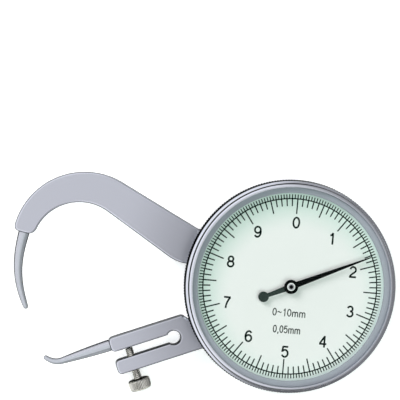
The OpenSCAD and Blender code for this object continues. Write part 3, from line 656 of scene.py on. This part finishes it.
def lettering(name, text, at, height, material, squeeze, pen):
    """Flat lettering on the dial drawn with a pen of even width, centred at a place."""
    points, faces = [], []
    c, s = math.cos(math.radians(DIAL_TURN)), math.sin(math.radians(DIAL_TURN))
    widths = [ADVANCE.get(sign, DIGIT_ADVANCE) for sign in text]
    left = -sum(widths) / 2
    for sign, width in zip(text, widths):
        for stroke in STROKES[sign]:
            line = [Vector(((left + width / 2 + x) * squeeze, y)) * height for x, y in stroke]
            base = len(points)
            for k, place in enumerate(line):
                aim = (line[min(k + 1, len(line) - 1)] - line[max(k - 1, 0)]).normalized()
                if line[0] == line[-1] and k in (0, len(line) - 1):
                    aim = (line[1] - line[-2]).normalized()
                side = Vector((-aim.y, aim.x)) * (pen * height / 2)
                for edge in (place + side, place - side):
                    points.append((at.x + edge.x * c - edge.y * s, at.y + edge.x * s + edge.y * c, PRINT_Z))
            for k in range(len(line) - 1):
                faces.append((base + 2 * k, base + 2 * k + 1, base + 2 * k + 3, base + 2 * k + 2))
        left += width
    place_piece(build(name, points, faces, material), "bezel_assembly", "pointer_black")


NUMBER_R = 15.1
NUMBER_HEIGHT = 2.72
NUMBER_SHIFT = Vector((0.07, -0.15))
LINE_HEIGHT = 1.8
LINE_PEN = 0.13
# Small offsets of the printed numbers from their even places
NUDGE = {0: (0.02, -0.08), 1: (-0.2, -0.2), 3: (0.14, 0.07), 4: (-0.12, 0.16), 6: (0.05, 0.09),
         7: (-0.14, 0.02), 8: (-0.07, 0.14), 9: (0.1, -0.05)}
for digit in range(10):
    spot = polar(NUMBER_R, 90 + DIAL_TURN - 36 * digit) + NUMBER_SHIFT
    spot += Vector(NUDGE.get(digit, (0, 0)))
    lettering("number_%d" % digit, str(digit), spot, NUMBER_HEIGHT, ink, 1.0, 0.157)
lettering("range_line", "0~10mm", Vector((-0.25, -6.12)), LINE_HEIGHT, soft_ink, 0.85, LINE_PEN)
lettering("step_line", "0,05mm", Vector((-0.81, -10.02)), LINE_HEIGHT, soft_ink, 0.76, LINE_PEN)


# Pointer: tapered hand with a round counterweight

READING_TURNS = 1.182
POINTER_TURN = 90 + DIAL_TURN - 360 * READING_TURNS
HAND_LOW = 11.4
HAND_TOP = 11.6
HAND_EDGE = 0.04


def hand():
    """Tapered hand, a little chamfered on its upper edge."""
    wide, fine, tail = 0.72, 0.12, 0.44
    length, weight_at, weight_r = 20.0, -6.8, 1.22
    outline = [Vector((0, -wide)), Vector((length, -fine)), Vector((length, fine)), Vector((0, wide))]
    start = math.degrees(math.asin(tail / weight_r))
    for k in range(41):
        outline.append(Vector((weight_at, 0)) + polar(weight_r, start + (360 - 2 * start) * k / 40))
    spin = Matrix.Rotation(math.radians(POINTER_TURN), 2)
    points = []
    for depth, height in ((0.0, HAND_LOW), (0.0, HAND_TOP - HAND_EDGE), (HAND_EDGE, HAND_TOP)):
        points += [(*(spin @ p), height) for p in inset(outline, depth)]
    count = len(outline)
    faces = ring_faces(3, count, False)
    faces.append(tuple(range(count - 1, -1, -1)))
    faces.append(tuple(2 * count + k for k in range(count)))
    return build("pointer_hand", points, faces, hand_finish(), 20)


place_piece(hand(), "pointer_arbor", "pointer_black", "pointer")


# Pointer hub: black ring round a silver one, with a dark middle

def hub():
    """The ring of the hub and the small dark end of its arbor."""
    hole, face_r, ring_r = 0.7, 0.94, 1.64
    low, high = HAND_TOP, 11.85
    edge = [(hole, low), (ring_r - 0.05, low), (ring_r, low + 0.05), (ring_r, high - 0.05)]
    edge += [(ring_r - 0.05, high), (face_r + 0.03, high)]
    edge += [(face_r + 0.01, high - 0.03), (hole, high - 0.03)]
    outer = turned("hub_ring", edge, finish["pointer_black"], 64)
    face = [(hole + 0.005, 11.1), (face_r - 0.05, 11.1), (face_r - 0.05, low), (face_r, high - 0.02)]
    face += [(face_r - 0.03, high + 0.02), (hole + 0.005, high + 0.02)]
    inner = turned("hub_face", face, finish["hub_silver"], 64)
    tip = [(NEAR_AXIS, 12.0), (0.46, 12.0), (0.42, 12.02), (NEAR_AXIS, 12.02)]
    end = turned("arbor_end", tip, finish["pointer_black"], 48)
    place_piece(outer, "pointer_arbor", "pointer_black", "pointer_hub")
    place_piece(inner, "pointer_arbor", "hub_silver", "pointer_hub")
    place_piece(end, "pointer_arbor", "pointer_black")


hub()


# Moving arm: curved plate

def moving_arm():
    """Outline of the curved arm, from its end round the crown to the hub and back along the throat."""
    crown_r, throat_r = 16.82, 11.02
    outer_fall, inner_fall = 31.5, 36.4
    top, low = 13.15, 5.0
    side = Vector((-ARM_END_AIM.y, ARM_END_AIM.x))

    def meet(center, radius, sign):
        """Where the end face's line meets a circle, on the chosen side."""
        away = ARM_END - center
        b = away.dot(side)
        root = math.sqrt(b * b - away.length_squared + radius * radius)
        return ARM_END + side * (-b + sign * root)

    corner_out = min((meet(CROWN, crown_r, s) for s in (1, -1)), key=lambda p: p.x)
    corner_in = min((meet(THROAT, throat_r, s) for s in (1, -1)), key=lambda p: (p - ARM_END).length)
    out_turn = math.degrees(math.atan2(corner_out.y - CROWN.y, corner_out.x - CROWN.x)) % 360
    in_turn = math.degrees(math.atan2(corner_in.y - THROAT.y, corner_in.x - THROAT.x)) % 360
    crown_joint = CROWN + polar(crown_r, 90 - outer_fall)
    throat_joint = THROAT + polar(throat_r, 90 - inner_fall)
    bend_out = crown_joint + Vector((1, -math.tan(math.radians(outer_fall)))) * (
        (crown_joint.y - top) / math.tan(math.radians(outer_fall)))
    bend_in = throat_joint + Vector((1, -math.tan(math.radians(inner_fall)))) * (
        (throat_joint.y - low) / math.tan(math.radians(inner_fall)))
    line = []
    steps = 64
    for k in range(steps + 1):
        line.append(CROWN + polar(crown_r, out_turn + (90 - outer_fall - out_turn) * k / steps))
    line.append(bend_out)
    hub_r = 5.5
    up = math.degrees(math.asin((top - PIVOT.y) / hub_r))
    down = math.degrees(math.asin((PIVOT.y - low) / hub_r))
    for k in range(41):
        line.append(PIVOT + polar(hub_r, 180 - up + (down + up - 360) * k / 40))
    flat, steep = bend_in + Vector((3, 0)), bend_in + polar(3, 180 - inner_fall)
    for k in range(7):
        line.append(cubic([flat, (flat + 2 * bend_in) / 3, (steep + 2 * bend_in) / 3, steep], k / 6))
    for k in range(steps + 1):
        line.append(THROAT + polar(throat_r, 90 - inner_fall + (in_turn - 90 + inner_fall) * k / steps))
    line = soften(line, 0, 1.4)
    return soften(line, len(line) - 1, 2.0)


arm = slab("moving_arm_plate", moving_arm(), finish["arm_steel"])
low_end, high_end = Vector((PIVOT.x, PIVOT.y, 0)), Vector((PIVOT.x, PIVOT.y, 9))
bore(arm, plug(low_end, high_end, 2.4))
place_piece(arm, "measuring_arm", "arm_steel", "moving_arm")


# Fixed arm: slotted plate

def fixed_arm():
    """Outline of the slotted plate in its own axes, with the round end of the slot."""
    inner = 8.0
    prong_top, slot_top, slot_low, prong_low = 0.8, -2.7, -4.7, -8.2
    neck, shoulder_in, shoulder_out = prong_top - 2, -24.05, -25.65
    hole, hole_r = Vector((-29.15, -3.7)), 1.6
    outline = [(-PLATE_LENGTH, slot_low), (-PLATE_LENGTH, prong_low), (-inner, prong_low)]
    outline += [(-inner, neck), (shoulder_in, neck), (shoulder_out, prong_top)]
    outline += [(-PLATE_LENGTH, prong_top), (-PLATE_LENGTH, slot_top)]
    opening = math.degrees(math.asin((slot_top - slot_low) / 2 / hole_r))
    round_end = []
    for k in range(49):
        round_end.append(hole + polar(hole_r, 180 - opening - (360 - 2 * opening) * k / 48))
    lead = Vector((-0.9, 0))
    slot = [round_end[0] + lead] + round_end + [round_end[-1] + lead]
    line = round_corners([Vector(p) for p in outline] + slot, 1.25)
    return [in_plate(p.x, p.y) for p in line]


plate = slab("fixed_arm_plate", fixed_arm(), finish["arm_steel"])


def on_screw(across):
    """Place on the axis of the adjusting screw."""
    flat = in_plate(SCREW_AT, across)
    return Vector((flat.x, flat.y, ARM_MID))


bore(plate, plug(on_screw(-4.2), on_screw(-9.3), 0.98))
place_piece(plate, "case", "arm_steel", "fixed_arm")


# Tips: round rods in the ends of the arms

def moving_tip():
    """Curved horn, thick at the arm and fine at its nose."""
    base, face = ARM_END, ARM_END_AIM
    end, aim = Vector((-60.95, -5.32)), Vector((0.34, -0.94)).normalized()
    nose = end - aim * 0.56
    curve = [base, base + face * 6, nose - aim * 7.5, nose]
    steps = 64
    path = [base - face * TIP_ROOT, base - face * 0.3]
    radii = [TIP_ROOT_R, TIP_ROOT_R]
    for k in range(steps + 1):
        t = k / steps
        path.append(cubic(curve, t))
        radii.append(1.29 - 0.6 * t - 0.13 * t ** 12)
    path, radii = nosed(path, radii)
    return rod("moving_tip_horn", path, radii, finish["tip_steel"])


place_piece(moving_tip(), "measuring_arm", "tip_steel", "moving_tip")


def fixed_tip():
    """Straight tapered rod with a bent nose that faces the horn."""
    end, aim = Vector((-59.22, 1.25)), Vector((-0.625, 0.78)).normalized()
    start, bend = Vector((-PLATE_LENGTH, -0.95)), Vector((-55.5, -0.98))
    nose = end - aim * 0.54
    curve = [bend, bend + (bend - start).normalized() * 1.5, nose - aim * 1.3, nose]
    path = [start + Vector((TIP_ROOT, 0)), start + Vector((0.3, 0))]
    radii = [TIP_ROOT_R, TIP_ROOT_R]
    for k in range(17):
        t = k / 16
        path.append(start + (bend - start) * t)
        radii.append(1.36 - 0.6 * t ** 1.6)
    for k in range(1, 33):
        t = k / 32
        path.append(cubic(curve, t))
        radii.append(0.76 - 0.22 * t)
    path, radii = nosed(path, radii)
    return rod("fixed_tip_rod", [in_plate(p.x, p.y) for p in path], radii, finish["tip_steel"])


place_piece(fixed_tip(), "case", "tip_steel", "fixed_tip")


# Thumb screw: threaded stem and knurled head

HEAD_TEETH = 44
HEAD_KNURL = 0.15


def on_axis(points):
    """Points about Z turned onto the axis of the adjusting screw, height along the plate's width."""
    out = []
    for x, y, z in points:
        flat = in_plate(SCREW_AT + x, z)
        out.append((flat.x, flat.y, ARM_MID + y))
    return out


def screw_stem():
    """Threaded stem, a helical ridge wound as rings of points, with a cup for the ball at its end."""
    pitch, outer, depth = 0.4, 0.95, 0.14
    low, high = -10.53, -2.95
    cup_low, cup_r = -3.73, 0.74
    sides, per_turn = 32, 8
    rows = int((high - low) / pitch * per_turn) + 1
    points = []
    for i in range(rows):
        z = low + (high - low) * i / (rows - 1)
        for k in range(sides):
            share = (z / pitch + k / sides) % 1.0
            r = outer - depth * abs(2 * share - 1)
            if i == rows - 1:
                r = outer - depth
            turn = 2 * math.pi * k / sides
            points.append((r * math.cos(turn), r * math.sin(turn), z))
    for z in (high, cup_low):
        points += [(*polar(cup_r, 360 * k / sides), z) for k in range(sides)]
    faces = ring_faces(rows + 2, sides, False)
    faces.append(tuple(range(sides - 1, -1, -1)))
    faces.append(tuple((rows + 1) * sides + k for k in range(sides)))
    return build("screw_stem", on_axis(points), faces, finish["thumb_screw_nickel"], 60)


def screw_head():
    """Knurled head with rounded edges and a slightly raised end."""
    top, low = -10.45, -13.15
    section = [(NEAR_AXIS, low), (1.3, low), (1.75, low + 0.04), (2.2, low + 0.18), (2.48, low + 0.42)]
    knurled = len(section)
    section += [(2.6, low + 0.7), (2.6, top - 0.6)]
    section += [(2.5, top - 0.3), (2.25, top - 0.08), (1.9, top), (NEAR_AXIS, top)]
    steps = HEAD_TEETH * TOOTH_STEPS
    points = []
    for index, (r, z) in enumerate(section):
        for k in range(steps):
            turn = 2 * math.pi * k / steps
            share = (k / TOOTH_STEPS) % 1.0
            cut = HEAD_KNURL * abs(2 * share - 1) if index in (knurled, knurled + 1) else 0
            points.append(((r - cut) * math.cos(turn), (r - cut) * math.sin(turn), z))
    faces = ring_faces(len(section), steps, False)
    return build("screw_head", on_axis(points), faces, finish["thumb_screw_nickel"], 40)


place_piece(screw_stem(), "thumb_screw", "thumb_screw_nickel", "adjusting_screw")
place_piece(screw_head(), "thumb_screw", "thumb_screw_nickel", "adjusting_screw")


# Camera: seen from the upper left of the dial, close to its axis

PICTURE = 400
PIXELS_PER_MM = 4.3389
CAMERA_AWAY = 330
SENSOR = 36
target = Vector((-21.109, 20.061, DIAL_TOP)) * MM
back = Vector((-0.0968, 0.0209, 1)).normalized()
roll = Matrix.Rotation(0.0027, 3, back)
right = roll @ Vector((0, 1, 0)).cross(back).normalized()
up = back.cross(right)
lens = bpy.data.cameras.new("camera")
camera = bpy.data.objects.new("camera", lens)
scene.collection.objects.link(camera)
seat = Matrix((right, up, back)).transposed().to_4x4()
seat.translation = target + back * (CAMERA_AWAY * MM)
camera.matrix_world = seat
lens.sensor_width = SENSOR
lens.lens = SENSOR * CAMERA_AWAY * PIXELS_PER_MM / PICTURE
lens.clip_start = 0.01
scene.camera = camera


# Stage: pale floor, white where it is seen or mirrored and dark to the light that falls off it

def stage_floor():
    """Large flat floor just under the part."""
    half, z = 1.5, -0.0002
    corners = [(-half, -half, z), (half, -half, z), (half, half, z), (-half, half, z)]
    mesh = bpy.data.meshes.new("floor")
    mesh.from_pydata(corners, [], [(0, 1, 2, 3)])
    thing = bpy.data.objects.new("floor", mesh)
    scene.collection.objects.link(thing)
    material, shader = new_material("floor")
    tree = material.node_tree
    shader.inputs["Base Color"].default_value = (0.85, 0.85, 0.85, 1)
    shader.inputs["Roughness"].default_value = 0.9
    shader.inputs["Specular IOR Level"].default_value = 0.0
    shader.inputs["Emission Color"].default_value = (1, 1, 1, 1)
    shader.inputs["Emission Strength"].default_value = 0.5
    dark = add(tree, "BsdfDiffuse")
    dark.inputs["Color"].default_value = (0.2, 0.2, 0.22, 1)
    rays = add(tree, "LightPath")
    shown = rays.outputs["Is Camera Ray"]
    for kind in ("Is Glossy Ray", "Is Transmission Ray"):
        shown = calc(tree, "MAXIMUM", shown, rays.outputs[kind])
    mix = add(tree, "MixShader")
    tree.links.new(shown, mix.inputs["Fac"])
    tree.links.new(dark.outputs["BSDF"], mix.inputs[1])
    tree.links.new(shader.outputs["BSDF"], mix.inputs[2])
    tree.links.new(mix.outputs["Shader"], tree.nodes["Material Output"].inputs["Surface"])
    mesh.materials.append(material)


stage_floor()


def studio():
    """Surrounding glow that the metals mirror: bright at the left, dim at the right, softer overhead."""
    world = bpy.data.worlds.new("studio")
    scene.world = world
    world.use_nodes = True
    world.cycles_visibility.diffuse = False
    tree = world.node_tree
    where = add(tree, "TexCoord").outputs["Generated"]
    aim = toward(tree, where, Vector((-0.72, 0.06, 0.45)).normalized())
    glows = [(0.30, 0.2), (0.42, 0.35), (0.54, 0.36), (0.66, 0.74), (0.77, 0.83), (0.95, 0.84)]
    stops = [(place, (glow * 0.975, glow * 0.99, glow * 1.045)) for place, glow in glows]
    color = ramp_color(tree, remap(tree, aim, -1, 1), stops)
    split = add(tree, "SeparateXYZ")
    tree.links.new(where, split.inputs["Vector"])
    overhead = remap(tree, split.outputs["Z"], 0.7, 0.97, 1.0, 0.73, True)
    below = remap(tree, split.outputs["Y"], -0.95, -0.7, 0.35, 1.0, True)
    back_drop = tree.nodes["Background"]
    tree.links.new(color, back_drop.inputs["Color"])
    tree.links.new(calc(tree, "MULTIPLY", overhead, below), back_drop.inputs["Strength"])


studio()


def lamp(name, at, aim, size, power, color):
    """A soft square lamp that polished metal does not mirror."""
    data = bpy.data.lights.new(name, "AREA")
    data.shape = "SQUARE"
    data.size = size
    data.energy = power
    data.color = color
    thing = bpy.data.objects.new(name, data)
    scene.collection.objects.link(thing)
    thing.location = at
    thing.rotation_euler = (Vector(aim) - Vector(at)).to_track_quat("-Z", "Y").to_euler()
    thing.visible_glossy = False


lamp("key", (-0.65, 0.65, 0.67), (0, 0, 0), 0.6, 9.4, (1.0, 0.965, 0.988))
lamp("fill", (0.1, -0.2, 1.0), (0, 0, 0), 1.2, 10.0, (0.88, 1.0, 0.948))

scene.view_settings.view_transform = "Standard"
